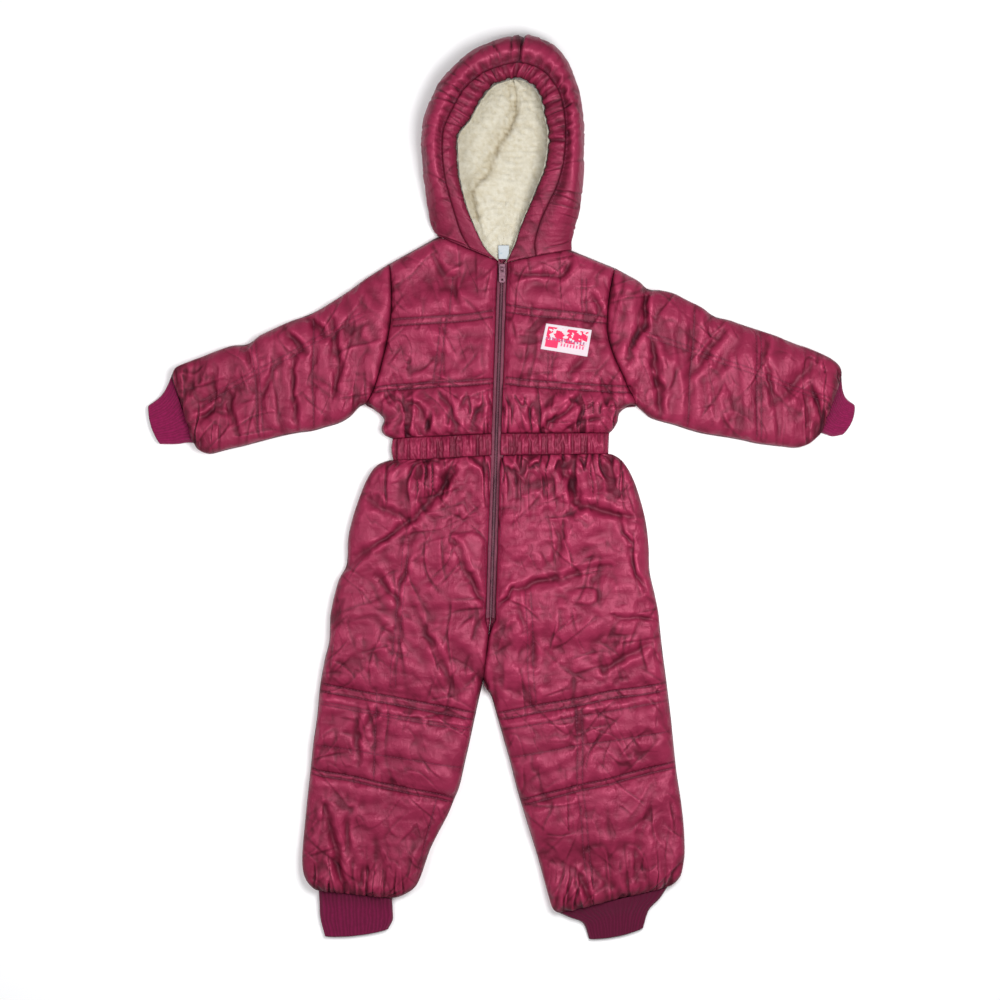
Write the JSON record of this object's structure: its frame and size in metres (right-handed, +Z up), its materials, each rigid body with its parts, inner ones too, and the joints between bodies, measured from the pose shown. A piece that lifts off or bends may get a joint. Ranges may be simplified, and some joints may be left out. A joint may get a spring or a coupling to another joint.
{
  "type": "toddler snowsuit",
  "caption": "Padded one-piece suit with a gathered hood, front zip, set-in sleeves, elastic waistband and ribbed cuffs, laid flat on its back with arms and legs spread.",
  "frame": {"origin": "on the surface the garment lies on, under the middle of its length and width", "axes": "+Y towards the hood, +Z up out of the garment's front, +X towards the wearer's left"},
  "size_m": [0.7802, 0.9978, 0.0522],
  "materials": {
    "shell": "smooth woven nylon with a soft sheen",
    "rib_knit": "matt ribbed knit",
    "pile": "matt curly pile",
    "zip_tape": "matt woven tape",
    "coil": "satin",
    "metal": "satin",
    "label": "matt woven label"
  },
  "bodies": {
    "garment": {"bodice_front_right": "shell", "bodice_front_left": "shell", "bodice_back": "shell", "waistband_front_right": "shell", "waistband_front_left": "shell", "waistband_back": "shell", "trouser_front_right": "shell", "trouser_front_left": "shell", "trouser_back_right": "shell", "trouser_back_left": "shell", "sleeve_right": "shell", "sleeve_left": "shell", "hood_right": "shell", "hood_left": "shell", "hood_casing": "shell", "cuff_wrist_right": "rib_knit", "cuff_wrist_left": "rib_knit", "cuff_ankle_right": "rib_knit", "cuff_ankle_left": "rib_knit", "hood_lining_right": "pile", "hood_lining_left": "pile", "zip_tape_right": "zip_tape", "zip_tape_left": "zip_tape", "zip_coil": "coil", "zip_slider": "metal", "chest_label": "label", "neck_label": "label"},
    "pull_tab": {"zip_pull": "metal"}
  },
  "joints": [
    {"name": "pull_tab_hinge", "type": "hinge", "parent": "garment", "child": "pull_tab", "pos_m": [0.0007, 0.2396, 0.0192], "axis": [-1, 0, 0], "range_deg": [0, 150]}
  ]
}
